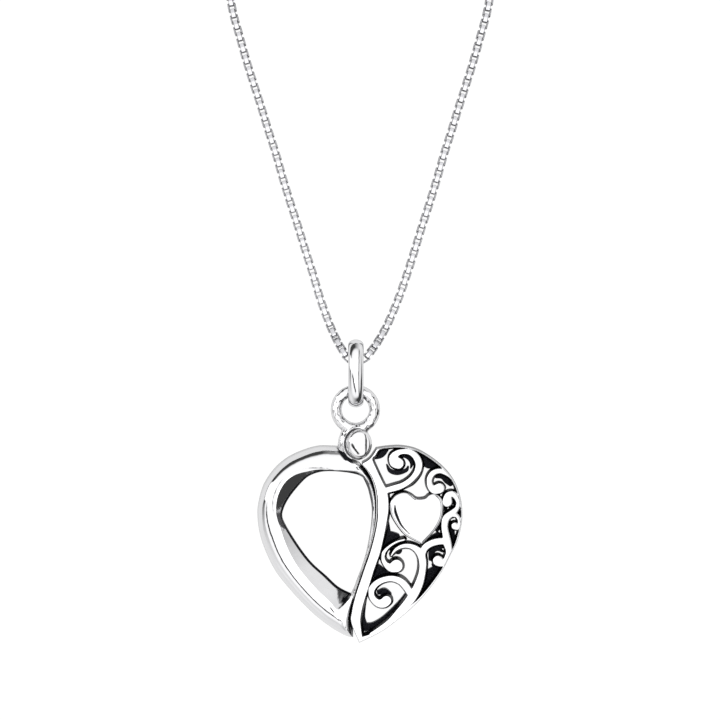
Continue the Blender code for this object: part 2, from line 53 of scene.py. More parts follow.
# View and light.
VIEW_CENTRE = (0.0, 14.52, 1.5)
VIEW_WIDTH = 79.2
LENS = 100.0
SENSOR = 36.0
FLOOR_SIZE = 5000.0
FLOOR_Z = -0.01
FLOOR_GLOW = 0.97
FLOOR_DIFFUSE = 0.08
TENT_STRENGTH = 1.5
ZENITH = [(0.0, 0.5), (0.4, 0.75), (0.7, 0.95), (0.93, 1.0)]
CARD_TOP = (0.4, 0.6)
CARD_LEVEL = 0.22
CARD_CONTRAST = 1.15
CARD_SHADE = 0.045
GAP = [(0.44, 1.0), (0.5, 0.02), (0.58, 0.02), (0.64, 1.0)]
GAP_FADE = [(0.35, 1.0), (0.5, 0.0)]
SLIT = [(0.38, 1.0), (0.43, 0.02), (0.52, 0.02), (0.57, 1.0)]
SLIT_WIDTH = [(0.5, 0.0), (0.7, 1.0)]
LAMPS = [
    ("overhead", (0, 0, 420), (260, 260), 0.16),
    ("left", (-300, 100, 170), (120, 300), 0.17),
]

# Silver finish: the upward part of a face's normal where the painted shade of steep sides is
# full and where it has faded out, the roughness of blackened metal, and noise scales per millimetre.
STEEP_SHADE = (0.1, 0.42)
DULL = 0.5
POLISH_SCALE = 1.6
WAVE_SCALE = 0.7
WAVE_STRENGTH = 0.5
SCRATCH_SCALE = 2.5
SCRATCH_STRENGTH = 0.3
SCRATCH_STRETCH = (0.4, 9.0, 3.0)
GRAIN_SCALE = 9.0
GRAIN_DARK = (0.35, (0.003, 0.003, 0.004, 1.0))
GRAIN_PALE = (0.8, (0.03, 0.031, 0.038, 1.0))

# Chain, as routed in the CAD model.
LINK_PITCH = 0.66
COIL_CENTRE = (0.0, 63.4)
COIL_RADII = (4.05, 6.45)
COIL_TURNS = 2.5
COIL_PITCH = 0.97
COIL_STEPS = 24
COIL_CROSSOVER = (0.47, 0.06)
LEAN_POINTS = 6
CHAIN_Z = 0.49
STRAND = [
    (-0.45, 14.5, 1.95), (-1.3, 14.75, 1.9), (-2.05, 15.8, 1.6), (-2.75, 17.1, 1.05),
    (-3.5, 18.8, 0.6), (-4.4, 21.3, 0.49), (-5.2, 24.0, 0.49), (-6.03, 26.6, 0.49),
    (-6.86, 29.3, 0.49), (-7.7, 31.9, 0.49), (-8.5, 34.5, 0.49), (-9.27, 37.2, 0.49),
    (-10.1, 39.8, 0.49), (-10.93, 42.5, 0.49), (-11.77, 45.1, 0.49), (-12.58, 47.7, 0.49),
    (-13.34, 50.4, 0.49), (-14.05, 53.0, 0.49), (-14.35, 55.4, 0.49), (-13.7, 57.4, 0.49),
    (-11.9, 58.7, 0.49), (-9.9, 59.8, 0.49), (-8.4, 61.5, 0.49), (-7.75, 63.0, 0.49),
]
RIGHT_RISE = {20: 0.6, 21: 1.0, 22: 1.6, 23: 2.2}
TAIL = [
    (-7.75, 64.6, 1.4), (-7.6, 66.6, 1.2), (-7.5, 68.8, 0.8), (-7.35, 71.0, 0.62),
    (-6.7, 72.8, 0.8), (-5.6, 73.9, 1.15), (-4.4, 74.2, 1.35),
]
RIGHT_TAIL_HEIGHTS = (3.2, 2.7, 1.9, 1.2, 0.9, 1.15, 1.35)

# Pendant outlines, as in the CAD model.
SEAM_GAP = 0.08
SEAM_SHIFT = 0.15
SEAM = [
    (-0.68, -16.0), (-0.91, -14.3), (-0.83, -12.9), (-0.48, -11.36), (0.02, -9.85),
    (0.53, -8.34), (1.11, -6.66), (1.62, -4.8), (1.96, -2.95), (2.0, -1.09),
    (1.76, 0.62), (1.12, 2.1), (0.12, 3.25),
]
POLISHED_OUTLINE = [
    (-2.0, 5.0), (-3.1, 5.08), (-4.7, 5.06), (-6.47, 4.54), (-8.15, 3.71), (-9.58, 2.44),
    (-10.67, 0.76), (-11.22, -1.1), (-11.35, -2.61), (-11.1, -4.63), (-10.42, -6.66),
    (-9.42, -8.67), (-8.15, -10.35), (-6.47, -12.21), (-4.79, -13.81), (-3.1, -15.07),
    (-1.5, -15.95), (-0.76, -16.08),
]
POLISHED_RETURN = [(-0.08, 3.27), (-0.62, 3.5), (-1.4, 4.02), (-2.0, 5.0)]
POLISHED_CREST = [
    (-0.1, 2.5), (-2.26, 2.55), (-4.44, 2.63), (-6.13, 2.53), (-7.48, 2.1), (-8.45, 1.33),
    (-9.16, 0.09), (-9.44, -1.1), (-9.42, -2.28), (-8.99, -3.96), (-8.32, -5.97),
    (-7.3, -7.95), (-6.13, -9.5), (-4.79, -11.0), (-3.61, -12.1), (-2.76, -13.13),
]
CREST_RETURN = [
    (-2.76, -13.13), (-1.7, -12.3), (-0.85, -11.2), (-0.27, -9.8), (0.25, -8.3),
    (0.8, -6.6), (1.26, -4.8), (1.55, -2.95), (1.6, -1.1), (1.33, 0.5), (0.8, 1.75),
    (-0.1, 2.5),
]
WINDOW_EDGE = [
    (-0.23, 1.94), (-1.42, 2.19), (-3.1, 2.33), (-4.44, 2.22), (-5.62, 1.77), (-6.47, 1.01),
    (-7.65, -0.42), (-8.32, -1.6), (-8.57, -2.61), (-8.32, -3.45), (-7.3, -5.14),
    (-6.13, -6.82), (-5.12, -8.0), (-3.77, -9.2), (-2.42, -10.45), (-0.83, -11.31),
]
WINDOW_RETURN = [
    (-0.83, -11.31), (-0.32, -9.68), (0.19, -8.34), (0.69, -6.66), (1.02, -4.96),
    (1.24, -3.28), (1.28, -1.6), (0.95, 0.09), (0.53, 1.43), (-0.23, 1.94),
]
OPENWORK_OUTLINE = [
    (1.75, 4.9), (2.97, 5.08), (4.48, 5.14), (6.16, 4.8), (7.84, 3.87), (9.36, 2.61),
    (10.37, 1.27), (11.04, -0.42), (11.3, -2.1), (11.21, -3.62), (10.75, -5.47),
    (10.0, -6.95), (9.0, -8.84), (7.45, -10.95), (5.85, -12.65), (4.1, -14.12),
    (2.3, -15.4), (-0.1, -16.6),
]
OPENWORK_RETURN = [(0.2, 3.35), (1.0, 3.85), (1.75, 4.9)]
RIM_OUTER_EDGE = [
    (1.7, 4.0), (2.2, 4.7), (3.2, 4.87), (4.48, 4.9), (6.05, 4.58), (7.68, 3.67),
    (9.16, 2.45), (10.15, 1.13), (10.8, -0.47), (11.06, -2.1), (10.97, -3.58),
    (10.5, -5.38), (9.82, -6.87), (8.72, -8.72), (7.12, -10.82), (5.5, -12.48),
    (3.72, -13.95), (1.95, -15.15), (0.28, -15.75),
]
RIM_BAND_EDGE = [
    (0.28, -15.75), (0.1, -14.1), (0.28, -12.72), (0.77, -11.03), (1.2, -9.68),
    (1.62, -8.34), (2.21, -6.66), (2.63, -4.96), (2.96, -3.28), (3.17, -1.6), (3.02, 0.09),
    (2.46, 1.3), (1.75, 2.8), (1.4, 3.7), (1.7, 4.0),
]

# Scrollwork: centre line and width of each ribbon.
SCROLLS = [
    [
        (3.0, 0.3, 0.7), (3.87, 0.54, 0.74), (4.6, 0.78, 0.7), (5.33, 1.2, 0.69),
        (5.93, 1.77, 0.7), (6.38, 2.49, 0.8), (6.43, 3.3, 0.84), (6.05, 4.03, 0.78),
        (5.49, 4.4, 0.66), (4.84, 4.5, 0.62), (4.2, 4.38, 0.7), (3.72, 3.95, 0.95),
        (3.82, 3.4, 1.3), (4.2, 3.2, 1.25),
    ],
    [
        (10.0, 1.64, 0.35), (9.44, 2.09, 0.5), (8.72, 2.35, 0.6), (7.99, 2.09, 0.68),
        (7.63, 1.44, 0.68), (7.71, 0.72, 0.75), (8.15, 0.33, 1.0), (8.72, 0.45, 1.2),
    ],
    [
        (9.58, -1.05, 1.15), (9.72, -0.35, 0.85), (10.3, -0.25, 0.7), (10.77, -0.98, 0.55),
        (10.69, -1.7, 0.55), (10.21, -2.23, 0.75), (9.48, -2.83, 0.85), (9.28, -3.72, 0.8),
        (9.44, -4.69, 0.85), (9.6, -5.58, 0.95), (9.75, -6.41, 0.75), (9.51, -7.22, 0.6),
        (9.03, -7.75, 0.8), (8.56, -7.5, 1.2),
    ],
    [
        (10.0, -2.43, 0.6), (10.65, -2.59, 0.5), (10.93, -3.24, 0.42), (10.77, -3.84, 0.6),
        (10.43, -3.7, 0.85),
    ],
    [
        (1.3, -15.5, 0.5), (3.1, -14.25, 0.6), (4.39, -13.0, 0.85), (5.52, -11.74, 1.05),
        (6.36, -10.28, 1.0), (6.81, -8.75, 0.85), (6.85, -7.38, 0.9), (6.41, -6.41, 0.85),
        (5.6, -5.89, 0.6), (4.71, -5.84, 0.5), (3.94, -6.21, 0.4), (3.42, -6.89, 0.2),
    ],
    [
        (6.85, -7.14, 0.6), (7.05, -6.17, 0.8), (7.78, -5.6, 0.8), (8.75, -5.36, 0.8),
        (9.47, -5.44, 0.7),
    ],
    [
        (4.84, -5.15, 0.28), (4.07, -5.36, 0.3), (3.26, -5.84, 0.35), (2.65, -6.49, 0.45),
        (2.53, -7.22, 0.5), (2.85, -7.86, 0.65), (3.42, -8.2, 1.0), (4.0, -8.02, 1.45),
    ],
    [
        (5.6, -11.17, 0.8), (5.03, -10.28, 0.85), (4.39, -9.68, 0.8), (3.42, -9.4, 0.7),
        (2.37, -9.6, 0.7), (1.6, -10.12, 0.75), (1.24, -10.85, 0.72), (1.4, -11.57, 0.75),
        (1.97, -12.1, 0.9), (2.55, -12.1, 1.1), (2.9, -11.84, 1.15),
    ],
]
MINI_HEART = [
    (6.78, -5.66), (8.07, -4.37), (8.88, -3.1), (9.14, -1.95), (9.08, -0.98), (8.72, -0.41),
    (8.07, -0.13), (7.55, -0.24), (7.1, -0.6), (6.25, -0.66), (5.65, -0.25), (5.0, 0.03),
    (4.4, 0.0), (3.75, -0.35), (3.35, -0.95), (3.25, -1.6), (3.48, -2.6), (4.2, -3.8), (5.1, -4.77),
]
# Groove by the mini heart's left edge, painted black as painted shade.
HEART_GROOVE = [(3.82, -1.35, 0.12), (3.92, -2.19, 0.32), (4.5, -3.5, 0.24), (5.42, -4.5, 0.1)]

# Dark webs low in the openwork: a line and its width.
WEBS = [
    [(1.5, 4.2, 1.3), (2.2, 4.3, 1.2), (2.9, 4.6, 0.5)],
    [(2.97, 2.94, 0.2), (3.33, 2.3, 0.45), (4.16, 2.08, 0.5), (5.08, 2.35, 0.4), (5.31, 2.75, 0.2)],
    [(4.16, 3.9, 0.25), (4.98, 3.9, 0.4), (5.5, 3.6, 0.5), (5.72, 3.1, 0.4), (5.6, 2.6, 0.15)],
    [(6.95, 3.75, 0.9), (7.7, 3.35, 0.8), (8.5, 3.0, 0.5)],
    [(7.0, 3.2, 0.5), (7.5, 2.85, 0.6), (8.1, 2.8, 0.4)],
    [(4.2, 0.15, 0.25), (5.0, 0.45, 0.3), (5.9, 0.95, 0.35), (6.6, 1.8, 0.35), (6.95, 2.5, 0.2)],
    [(8.45, 1.65, 0.4), (9.1, 1.65, 0.6), (9.6, 1.2, 0.7), (10.0, 0.8, 0.5)],
    [(10.1, -0.7, 0.3), (10.3, -1.1, 0.4), (9.9, -1.7, 0.3)],
    [(9.2, -1.9, 0.5), (9.5, -2.0, 0.4)],
    [(9.8, -3.2, 0.5), (10.0, -4.0, 0.7), (10.2, -4.6, 0.6), (10.3, -5.4, 0.4)],
    [(3.0, -2.9, 0.3), (3.2, -4.4, 0.4)],
    [(2.4, -5.5, 1.0), (3.2, -4.9, 1.0), (4.1, -4.9, 0.6)],
    [(2.0, -6.4, 0.5), (1.75, -7.4, 0.3)],
    [(3.5, -6.45, 0.5), (4.2, -6.45, 0.9)],
    [(1.7, -9.1, 0.7), (1.7, -8.4, 1.0), (2.6, -8.9, 0.8), (3.3, -8.95, 0.4)],
    [(7.75, -7.5, 0.35), (7.9, -6.7, 0.6), (8.5, -6.3, 0.55), (9.1, -6.6, 0.3)],
    [(8.1, -8.1, 0.4), (8.8, -8.5, 0.6), (9.6, -7.2, 0.5)],
    [(8.6, -6.15, 0.4), (9.2, -6.1, 0.4)],
    [(8.4, -8.6, 0.9), (7.4, -9.6, 1.5), (6.8, -10.6, 1.2), (5.8, -12.0, 0.9), (4.2, -13.6, 0.6)],
    [(6.9, -4.9, 0.35), (7.9, -5.0, 0.4), (8.6, -4.7, 0.5)],
    [(8.9, -3.6, 0.4), (8.5, -4.2, 0.5)],
    [(2.1, -11.1, 0.5), (2.7, -11.0, 0.7), (3.3, -11.3, 0.4)],
    [(0.75, -11.0, 0.35), (0.4, -12.7, 0.5), (0.35, -14.0, 0.5), (0.5, -14.95, 0.9)],
    [(0.5, -14.95, 0.9), (1.4, -14.8, 0.7), (2.5, -14.15, 0.6), (3.6, -13.2, 0.6)],
    [(3.6, -13.2, 0.6), (4.6, -12.15, 0.6), (5.15, -11.3, 0.4)],
    [(4.2, -13.75, 0.5), (2.6, -14.9, 0.5)],
]

# Polished half. A section runs from its outer foot up the flank to the crest, down a bevel
# and the wall to the lip of the window, and to its inner foot. A foot is a share of the way
# inwards and a height; the dip is its depth at the crest and the share it spreads over.
# Pairs for the lip's share of the width and the window's paint are for the outer side and
# the seam side. The painted shade on the flank by the seam is a width against y.
SECTIONS = (150, 90)
TOP_SECTIONS = 17
OUTER_FOOT = [(0.1, 0.0), (0.02, 0.06)]
FLANK_STEPS = 15
FLANK_FOOT_Z = 0.35
CROWN_RISE = 2.25
CREST_DIP = (0.12, 0.3)
CREST_Z = FLANK_FOOT_Z + CROWN_RISE - CREST_DIP[0]
OUTER_CROWN = 3.2
SEAM_CROWN = 6.0
CROWN_BLEND = 20
BEVEL_STOPS = (0.1, 0.5, 1.0)
WALL_STOPS = (0.1, 0.3, 0.5, 0.7, 0.96, 1.0)
LIP_SHARE = (0.5, 0.7)
BEVEL = 0.14
BEVEL_WIDTH = 0.32
WALL = 0.8
LIP = 0.24
SEAM_FLANK_SHADE = ((-12.0, -10.8), (0.09, 0.15))
WINDOW_PAINT = (1.0, 0.8)
LIP_DROP = 1.2
# Painted shade at the lower end of the window's wall: a centre and a radius.
WALL_END_SHADE = (-1.45, -12.0)
WALL_END_SHADE_RADIUS = 0.65
WALL_START = len(OUTER_FOOT) + FLANK_STEPS
LIP_START = WALL_START + len(BEVEL_STOPS) + len(WALL_STOPS) - 1
PLATE_CENTRE = (-0.5, 5.25)
PLATE_RADIUS = 1.75
# Both halves are black out to this radius round the bail plate's centre.
CREVICE_RADIUS = 2.05

# Openwork casting: its grid, domed top, edges, blackened walls and what lies beside them.
OPENWORK_PLANE = ((-1.2, -16.9), (11.6, 5.4))
OXIDE_START = 0.05
OXIDE_FADE = 0.04
# CREVICE_FADE is the fade of the black round the bail plate.
CREVICE_FADE = 0.08
FLANK_FLOOR_Z = 0.3
CROWN_Z = 2.9
DOME_X = (1.0, 11.5, 1.25)
DOME_Y = (-3.0, 13.0, 0.45)
CELL = 0.045
BACK_Z = 0.02
EDGE_ROUND = 0.13
WALL_DROP = 1.5
SKIRT = (0.13, 0.14)
SIDE_ROUND = 0.2
SEAM_ROUND = 0.1
# Width of the painted shade on the openwork along the seam.
SEAM_SHADE = 0.07
SKIRT_TOWARDS = (-0.6, 0.8)
FILLET = 0.12
HEART_PLANE = ((2.8, -6.2), (9.6, 0.6))
HEART_ROUND = 0.35
HEART_SINK = 0.05
HEART_PUFF = 0.2
HEART_WALL = 0.1
HEART_DROP = 1.4
HEART_BACK_Z = 0.3
GROOVE_DEPTH = 0.12

PIVOT = (-0.07, 5.35)
BALL_RADII = (1.38, 1.63)
BALL_TOP = 3.95
BALL_RISE = 0.38
BALL_EDGE = 0.4
BALL_EDGE_POWER = 14
BALL_RINGS = 30
BALL_AROUND = 72
BALL_FOOT = 2.4
BAIL_PLANE = ((-3.4, 3.2), (2.4, 12.0))
NECK = [(-0.5, 5.6, 2.9), (-0.5, 6.9, 2.7), (-0.5, 7.4, 2.7)]
FLARE = [(-1.3, 6.9, 1.2), (-1.7, 5.9, 1.2), (-2.0, 5.0, 0.9)]
NECK_FILLET = 0.25
FLARE_FILLET = 0.3
LOOP_FILLET = 0.18
SEAT_RADII = (1.46, 1.5, 1.62)
SEAT_DEPTH = 0.2
LOOP_CENTRE = (-0.5, 9.08, 2.0)
LOOP_RADIUS = 2.1
LOOP_WIRE = 0.6
RING_CENTRE = (-0.45, 13.05, 2.0)
RING_RADII = (3.15, 1.42)
RING_WIRE = (0.84, 0.58)
CLASP_CENTRE = (0.57, 74.2, 1.35)
CLASP_RADIUS = 2.1
CLASP_TUBE = 0.55
CLASP_OPENING = (200.0, 265.0)
GATE_RADIUS = 0.32
GATE_ARC = (150.0, 262.0)


# Curves and meshes.

def smooth(points, steps):
    """Catmull-Rom curve through rows of numbers, with that many steps a span."""
    rows = np.array(points, float)
    last = len(rows) - 1
    line = []
    for i in range(last):
        a, b = rows[max(i - 1, 0)], rows[i]
        c, d = rows[i + 1], rows[min(i + 2, last)]
        for t in np.arange(steps) / steps:
            bend = (2 * a - 5 * b + 4 * c - d) * t + (3 * b - a - 3 * c + d) * t * t
            line.append(b + 0.5 * t * (c - a + bend))
    line.append(rows[-1])
    return np.array(line)


def spaced(line, count):
    """The line again, with that many evenly spaced points."""
    along = lengths(line)
    at = np.linspace(0, along[-1], count)
    return np.stack([np.interp(at, along, column) for column in line.T], axis=1)


def lengths(line):
    steps = np.linalg.norm(np.diff(line, axis=0), axis=1)
    return np.concatenate([[0.0], np.cumsum(steps)])


def run(points, count):
    return spaced(smooth(points, 16), count)


def piece(name, points, faces, look, body, angle=50.0):
    """A smooth-shaded object from millimetre points, riding on a body."""
    mesh = bpy.data.meshes.new(name)
    points = np.asarray(points, float) * MM
    mesh.from_pydata(points.tolist(), [], [tuple(f) for f in faces])
    mesh.materials.append(look)
    mesh.shade_smooth()
    if angle:
        mesh.set_sharp_from_angle(angle=math.radians(angle))
    made = bpy.data.objects.new(name, mesh)
    bpy.context.scene.collection.objects.link(made)
    if body:
        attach(made, body)
    return made


def grid_faces(rows, columns, close_rows, close_columns):
    """Quads between rows of points, wrapped round where a direction is closed."""
    faces = []
    for i in range(rows if close_rows else rows - 1):
        ahead = (i + 1) % rows
        for k in range(columns if close_columns else columns - 1):
            beside = (k + 1) % columns
            faces.append((i * columns + k, ahead * columns + k,
                          ahead * columns + beside, i * columns + beside))
    return faces


def bent_wire(centre, radii, half, axes, arc=(0.0, 360.0), steps=96, around=24):
    """Points and faces of a wire round an ellipse, or over an arc of it with domed ends."""
    first, second = np.array(axes, float)
    across = np.cross(first, second)
    closed = arc[1] - arc[0] >= 360.0
    angles = np.radians(np.linspace(arc[0], arc[1], steps + (0 if closed else 1), endpoint=not closed))
    turns = np.arange(around) * 2 * math.pi / around
    rows = []
    for angle in angles:
        u = first * math.cos(angle) + second * math.sin(angle)
        place = np.array(centre) + first * radii[0] * math.cos(angle)
        place = place + second * radii[1] * math.sin(angle)
        for turn in turns:
            rows.append(place + u * half[1] * math.cos(turn) + across * half[0] * math.sin(turn))
    faces = grid_faces(len(angles), around, closed, True)
    if not closed:
        faces.append(tuple(range(around)))
        faces.append(tuple(range((len(angles) - 1) * around, len(angles) * around))[::-1])
    return np.array(rows), faces


# Fields over the plane, positive inside a shape.

def dome(x, y):
    across = np.abs((x - DOME_X[0]) / DOME_X[1]) ** 2 * DOME_X[2]
    along = np.abs((y - DOME_Y[0]) / DOME_Y[1]) ** 2 * DOME_Y[2]
    return CROWN_Z - across - along


def inside_outline(outline, x, y):
    """Signed distance to a closed outline."""
    px, py = outline[:, 0], outline[:, 1]
    qx, qy = np.roll(px, -1), np.roll(py, -1)
    best = np.full(x.shape, 1e9)
    crossings = np.zeros(x.shape, int)
    for ax, ay, bx, by in zip(px, py, qx, qy):
        dx, dy = bx - ax, by - ay
        t = np.clip(((x - ax) * dx + (y - ay) * dy) / (dx * dx + dy * dy), 0, 1)
        best = np.minimum(best, (x - ax - t * dx) ** 2 + (y - ay - t * dy) ** 2)
        spans = (ay > y) != (by > y)
        if dy:
            crossings += spans & (x < ax + (y - ay) / dy * dx)
    return np.where(crossings % 2 == 1, 1.0, -1.0) * np.sqrt(best)


def ribbon_field(route, x, y):
    """Signed distance to a ribbon of changing width with round ends."""
    line = smooth(route, 12)
    best = np.full(x.shape, -1e9)
    for px, py, width in line:
        best = np.maximum(best, width / 2 - np.hypot(x - px, y - py))
    return best


def joined(a, b, fillet):
    """Union of two fields with a fillet in the corner between them."""
    share = np.clip(0.5 + 0.5 * (a - b) / fillet, 0, 1)
    return b + (a - b) * share + fillet * share * (1 - share)


def plane(low, high):
    """Rows and columns of points over a rectangle."""
    xs = np.arange(low[0], high[0] + CELL, CELL)
    ys = np.arange(low[1], high[1] + CELL, CELL)
    return np.meshgrid(xs, ys, indexing="ij")


def cut_plane(x, y, field, carried):
    """Triangles where the field is positive, cut along its zero line.

    Gives the values of x, y and each carried array at the corners, the triangles,
    and the pairs of corners along the cut, in the triangles' own direction."""
    columns = [x.ravel(), y.ravel(), *[c.ravel() for c in carried]]
    value = field.ravel()
    index = np.arange(value.size).reshape(field.shape)
    a, b = index[:-1, :-1].ravel(), index[1:, :-1].ravel()
    c, d = index[1:, 1:].ravel(), index[:-1, 1:].ravel()
    triangles = np.concatenate([np.stack([a, b, c], 1), np.stack([a, c, d], 1)])
    inside = value[triangles] > 0
    count = inside.sum(1)
    whole = triangles[count == 3]
    ones, twos = triangles[count == 1], triangles[count == 2]
    first = np.argmax(inside[count == 1], 1)
    out = np.argmin(inside[count == 2], 1)
    ones = np.stack([ones[np.arange(len(ones)), (first + k) % 3] for k in range(3)], 1)
    twos = np.stack([twos[np.arange(len(twos)), (out + k) % 3] for k in range(3)], 1)
    edges = np.concatenate([ones[:, [0, 1]], ones[:, [0, 2]], twos[:, [0, 1]], twos[:, [0, 2]]])
    edges = np.sort(edges, axis=1)
    unique, places = np.unique(edges, axis=0, return_inverse=True)
    places = places.ravel() + value.size
    n, m = len(ones), len(twos)
    one_b, one_c = places[:n], places[n:2 * n]
    two_b, two_c = places[2 * n:2 * n + m], places[2 * n + m:]
    share = value[unique[:, 0]] / (value[unique[:, 0]] - value[unique[:, 1]])
    share = np.clip(share, 0.02, 0.98)
    corners = [np.concatenate([v, v[unique[:, 0]] * (1 - share) + v[unique[:, 1]] * share])
               for v in columns]
    every = np.concatenate([
        whole,
        np.stack([ones[:, 0], one_b, one_c], 1),
        np.stack([two_b, twos[:, 1], twos[:, 2]], 1),
        np.stack([two_b, twos[:, 2], two_c], 1),
    ])
    border = np.concatenate([np.stack([one_b, one_c], 1), np.stack([two_c, two_b], 1)])
    used, flat = np.unique(every, return_inverse=True)
    renumber = np.zeros(len(corners[0]), int)
    renumber[used] = np.arange(len(used))
    return [v[used] for v in corners], flat.reshape(-1, 3), renumber[border]


def relief(name, x, y, field, top, bottom, oxide_and_shade, look, body):
    """A closed casting over the places where the field is positive."""
    (px, py, high, low, dark), faces, border = cut_plane(x, y, field, [top, bottom, oxide_and_shade])
    count = len(px)
    points = np.concatenate([np.stack([px, py, high], 1), np.stack([px, py, low], 1)])
    walls = np.stack([border[:, 1], border[:, 0], border[:, 0] + count, border[:, 1] + count], 1)
    every = [*faces.tolist(), *(faces[:, ::-1] + count).tolist(), *walls.tolist()]
    made = piece(name, points, every, look, body, angle=62.0)
    paint(made, np.concatenate([dark, dark]))
    return made


# Materials.

def nodes_of(name):
    made = bpy.data.materials.new(name)
    made.use_nodes = True
    return made, made.node_tree.nodes, made.node_tree.links


def millimetres(nodes, links, scale=(1.0, 1.0, 1.0)):
    """Object coordinates in millimetres, stretched by a scale."""
    place = nodes.new("ShaderNodeTexCoord")
    mapping = nodes.new("ShaderNodeMapping")
    mapping.inputs["Scale"].default_value = [s / MM for s in scale]
    links.new(place.outputs["Object"], mapping.inputs["Vector"])
    return mapping.outputs["Vector"]


def noise(nodes, links, vector, scale, detail, low, high):
    """Noise mapped to a range of values."""
    texture = nodes.new("ShaderNodeTexNoise")
    texture.inputs["Scale"].default_value = scale
    texture.inputs["Detail"].default_value = detail
    links.new(vector, texture.inputs["Vector"])
    ranged = nodes.new("ShaderNodeMapRange")
    ranged.inputs["To Min"].default_value = low
    ranged.inputs["To Max"].default_value = high
    links.new(texture.outputs["Fac"], ranged.inputs["Value"])
    return ranged.outputs["Result"]


def silver(name, colour, rough, wave, scratch, flank):
    """Polished silver with hand-polished waves and hairlines, blackened by oxide and painted shade.

    The mesh's oxide-and-shade values say where it is blackened; steep sides get painted shade
    as far as flank."""
    made, nodes, links = nodes_of(name)
    shader = nodes["Principled BSDF"]
    shader.inputs["Metallic"].default_value = 1.0
    plain = millimetres(nodes, links)
    streaks = millimetres(nodes, links, SCRATCH_STRETCH)
    mask = oxide_and_shade_mask(nodes, links, flank)
    colour_mix = mixed(nodes, links, "RGBA", mask, (*colour, 1.0), blackening(nodes, links, plain))
    links.new(colour_mix, shader.inputs["Base Color"])
    polish = noise(nodes, links, plain, POLISH_SCALE, 3, rough * 0.6, rough * 1.6)
    links.new(mixed(nodes, links, "FLOAT", mask, polish, DULL), shader.inputs["Roughness"])
    slow = nodes.new("ShaderNodeBump")
    slow.inputs["Distance"].default_value = wave * MM
    slow.inputs["Strength"].default_value = WAVE_STRENGTH
    links.new(noise(nodes, links, plain, WAVE_SCALE, 2, 0.0, 1.0), slow.inputs["Height"])
    fine = nodes.new("ShaderNodeBump")
    fine.inputs["Distance"].default_value = scratch * MM
    fine.inputs["Strength"].default_value = SCRATCH_STRENGTH
    links.new(noise(nodes, links, streaks, SCRATCH_SCALE, 5, 0.0, 1.0), fine.inputs["Height"])
    links.new(slow.outputs["Normal"], fine.inputs["Normal"])
    links.new(fine.outputs["Normal"], shader.inputs["Normal"])
    return made


def mixed(nodes, links, kind, share, first, second):
    """A Mix node between two colours or numbers, linked or fixed."""
    node = nodes.new("ShaderNodeMix")
    node.data_type = kind
    links.new(share, node.inputs["Factor"])
    for name, value in (("A", first), ("B", second)):
        socket = next(s for s in node.inputs if s.name == name and s.enabled)
        if isinstance(value, (int, float, tuple)):
            socket.default_value = value
        else:
            links.new(value, socket)
    return next(s for s in node.outputs if s.enabled)


def oxide_and_shade_mask(nodes, links, flank):
    """How black the silver is: the mesh's oxide-and-shade value, or the painted shade of a steep side.
    """
    painted = nodes.new("ShaderNodeAttribute")
    painted.attribute_name = "oxide_and_shade"
    place = nodes.new("ShaderNodeTexCoord")
    split = nodes.new("ShaderNodeSeparateXYZ")
    links.new(place.outputs["Normal"], split.inputs["Vector"])
    # Painted shade on steep sides: full where little of the normal points up or down.
    steep = nodes.new("ShaderNodeMapRange")
    steep.inputs["From Min"].default_value = STEEP_SHADE[0]
    steep.inputs["From Max"].default_value = STEEP_SHADE[1]
    steep.inputs["To Min"].default_value = flank
    steep.inputs["To Max"].default_value = 0.0
    links.new(math_node(nodes, links, "ABSOLUTE", split.outputs["Z"], 0.0), steep.inputs["Value"])
    return math_node(nodes, links, "MAXIMUM", painted.outputs["Fac"], steep.outputs["Result"])


def blackening(nodes, links, vector):
    """Grainy blue-black of oxidised silver."""
    ramp = nodes.new("ShaderNodeValToRGB")
    for element, (position, colour) in zip(ramp.color_ramp.elements, (GRAIN_DARK, GRAIN_PALE)):
        element.position = position
        element.color = colour
    links.new(noise(nodes, links, vector, GRAIN_SCALE, 6, 0.0, 1.0), ramp.inputs["Fac"])
    return ramp.outputs["Color"]


# Camera, floor and light.

def make_camera():
    data = bpy.data.cameras.new("camera")
    data.lens = LENS
    data.sensor_width = SENSOR
    data.clip_start = 0.005
    data.clip_end = 5.0
    camera = bpy.data.objects.new("camera", data)
    bpy.context.scene.collection.objects.link(camera)
    x, y, z = VIEW_CENTRE
    camera.location = Vector((x, y, z + VIEW_WIDTH * LENS / SENSOR)) * MM
    bpy.context.scene.camera = camera


def make_floor():
    made, nodes, _ = nodes_of("pale_card")
    shader = nodes["Principled BSDF"]
    shader.inputs["Base Color"].default_value = (FLOOR_DIFFUSE, FLOOR_DIFFUSE, FLOOR_DIFFUSE, 1.0)
    shader.inputs["Specular IOR Level"].default_value = 0.0
    shader.inputs["Roughness"].default_value = 0.9
    shader.inputs["Emission Color"].default_value = (1.0, 1.0, 1.0, 1.0)
    shader.inputs["Emission Strength"].default_value = FLOOR_GLOW
    half = FLOOR_SIZE / 2
    corners = [(-half, -half), (half, -half), (half, half), (-half, half)]
    points = [(x, y, FLOOR_Z) for x, y in corners]
    floor = piece("floor", points, [(0, 1, 2, 3)], made, None, angle=None)


def make_lamp(name, place, size, power, aim):
    data = bpy.data.lights.new(name, "AREA")
    data.shape = "RECTANGLE"
    data.size, data.size_y = size[0] * MM, size[1] * MM
    data.energy = power
    lamp = bpy.data.objects.new(name, data)
    bpy.context.scene.collection.objects.link(lamp)
    lamp.location = Vector(place) * MM
    lamp.rotation_euler = (Vector(aim) - Vector(place)).to_track_quat("-Z", "Y").to_euler()


